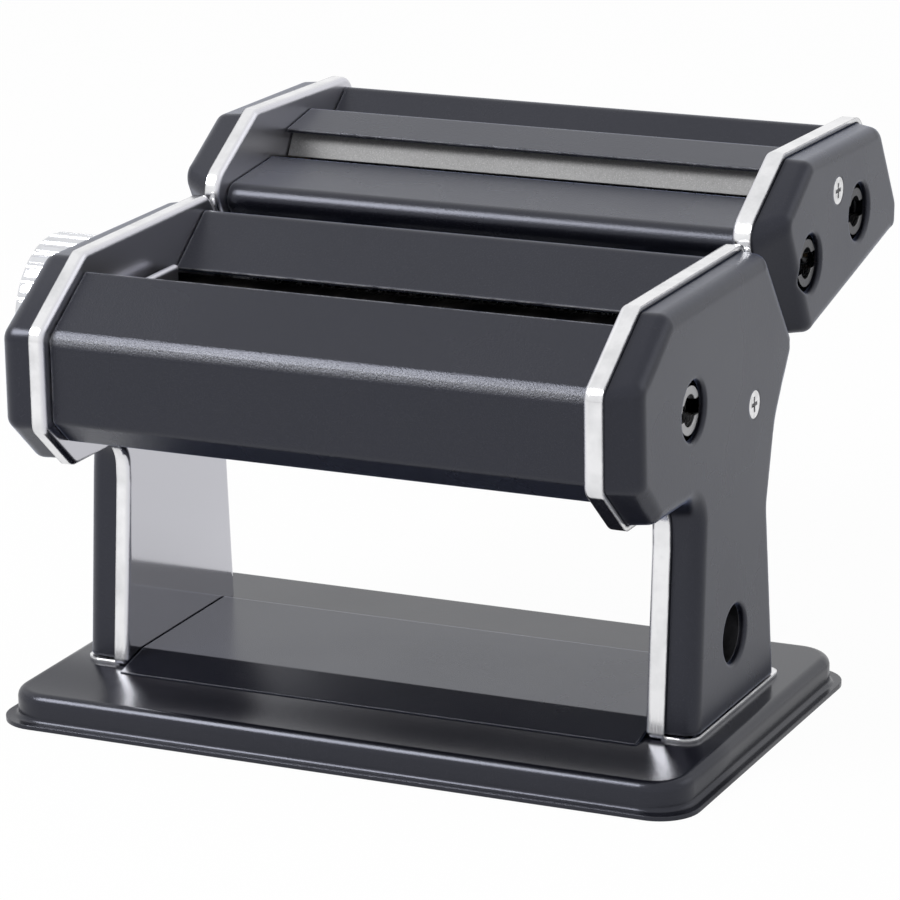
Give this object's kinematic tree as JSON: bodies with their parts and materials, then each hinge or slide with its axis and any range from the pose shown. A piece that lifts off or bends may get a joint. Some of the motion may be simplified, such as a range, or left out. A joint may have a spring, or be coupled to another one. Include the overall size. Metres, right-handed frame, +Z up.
{
  "type": "pasta roller machine",
  "caption": "Hand-cranked pasta roller machine: chromed side plates and black covers hold a roller pair with a thickness knob, and a lift-off cutter unit hangs behind.",
  "frame": {"origin": "middle of the overall box, on the table", "axes": "+X along the rollers to the crank side, +Y from the front to the cutter unit, +Z up"},
  "size_m": [0.2128, 0.1959, 0.1463],
  "materials": {
    "black_coat": "black satin powder coat with a fine speckle",
    "chrome": "bright chrome, lightly brushed along the edges",
    "grey_coat": "warm grey satin coat with speckle",
    "steel": "fine turned and ground steel",
    "dark_steel": "blackened, oiled and polished steel",
    "zinc": "bright zinc",
    "bronze": "sintered bronze",
    "gear_steel": "oiled steel",
    "aluminium": "plain satin"
  },
  "bodies": {
    "chassis": {"base_plate": "black_coat", "under_tray": "black_coat", "left_side_plate": "chrome", "right_side_plate": "chrome", "left_side_cover": "black_coat", "right_side_cover": "black_coat", "front_cover": "black_coat", "rear_cover": "black_coat", "left_dough_guide": "chrome", "right_dough_guide": "chrome", "clamp_sleeve": "steel", "base_screws": "zinc", "base_nuts": "zinc", "cover_posts": "zinc", "cover_screws": "zinc", "tie_rods": "steel", "tie_rod_screws": "zinc", "front_scraper": "steel", "rear_scraper": "steel", "front_roller_bushes": "bronze", "shaft_plate_bush": "bronze", "shaft_cover_bush": "bronze", "index_plate": "aluminium", "rear_rails": "steel"},
    "front_roller": {"front_roller": "dark_steel", "front_roller_gear": "gear_steel", "gear_circlip": "zinc"},
    "adjuster": {"adjusting_shaft": "steel", "knob_cap": "chrome"},
    "knob": {"thickness_knob": "chrome", "detent_pin": "steel", "knob_spring": "zinc"},
    "roller_float": {"floating_bushes": "bronze"},
    "rear_roller": {"rear_roller": "dark_steel", "rear_roller_gear": "gear_steel"},
    "cutter_unit": {"cutter_left_plate": "chrome", "cutter_right_plate": "chrome", "cutter_left_cover": "black_coat", "cutter_right_cover": "black_coat", "cutter_front_cover": "black_coat", "cutter_top_cover": "black_coat", "slot_strip": "grey_coat", "cutter_rear_cover": "black_coat", "cutter_bushes": "bronze", "cutter_cover_posts": "zinc", "cutter_cover_screws": "zinc", "cutter_tie_rods": "steel", "cutter_tie_screws": "zinc", "cutter_tongues": "steel", "narrow_combs": "steel", "wide_combs": "steel"},
    "narrow_drive": {"narrow_drive_cutter": "dark_steel", "narrow_drive_gear": "gear_steel"},
    "narrow_idle": {"narrow_idle_cutter": "dark_steel", "narrow_idle_gear": "gear_steel"},
    "wide_drive": {"wide_drive_cutter": "dark_steel", "wide_drive_gear": "gear_steel"},
    "wide_idle": {"wide_idle_cutter": "dark_steel", "wide_idle_gear": "gear_steel"}
  },
  "joints": [
    {"name": "drive_spin", "type": "hinge", "parent": "chassis", "child": "front_roller", "pos_m": [0.0061, -0.0574, 0.0982], "axis": [1, 0, 0], "continuous": true},
    {"name": "dial_turn", "type": "hinge", "parent": "chassis", "child": "adjuster", "pos_m": [0.0061, -0.0284, 0.0982], "axis": [-1, 0, 0], "range_deg": [0, 180]},
    {"name": "bush_float", "type": "hinge", "parent": "adjuster", "child": "roller_float", "pos_m": [0.0061, -0.0274, 0.0982], "axis": [-1, 0, 0], "range_deg": [-180, 0]},
    {"name": "rear_roller_spin", "type": "hinge", "parent": "roller_float", "child": "rear_roller", "pos_m": [0.0061, -0.0274, 0.0982], "axis": [1, 0, 0], "continuous": true},
    {"name": "knob_pull", "type": "slide", "parent": "adjuster", "child": "knob", "axis": [-1, 0, 0], "range_m": [0, 0.004], "stiffness_N_per_m": 1500, "springref_m": -0.002, "deforming": ["knob_spring"]},
    {"name": "cutter_lift", "type": "slide", "parent": "chassis", "child": "cutter_unit", "axis": [0, -0.5735, 0.8192], "range_m": [0, 0.05]},
    {"name": "narrow_drive_spin", "type": "hinge", "parent": "cutter_unit", "child": "narrow_drive", "pos_m": [0.0061, 0.0261, 0.1171], "axis": [1, 0, 0], "continuous": true},
    {"name": "narrow_idle_spin", "type": "hinge", "parent": "cutter_unit", "child": "narrow_idle", "pos_m": [0.0061, 0.04251, 0.11964], "axis": [1, 0, 0], "continuous": true},
    {"name": "wide_drive_spin", "type": "hinge", "parent": "cutter_unit", "child": "wide_drive", "pos_m": [0.0061, 0.0637, 0.12292], "axis": [1, 0, 0], "continuous": true},
    {"name": "wide_idle_spin", "type": "hinge", "parent": "cutter_unit", "child": "wide_idle", "pos_m": [0.0061, 0.08011, 0.12546], "axis": [1, 0, 0], "continuous": true}
  ],
  "couplings": [
    {"joint": "bush_float", "follows": "dial_turn", "ratio": -1},
    {"joint": "rear_roller_spin", "follows": "drive_spin", "ratio": -1},
    {"joint": "narrow_idle_spin", "follows": "narrow_drive_spin", "ratio": -1},
    {"joint": "wide_idle_spin", "follows": "wide_drive_spin", "ratio": -1}
  ]
}
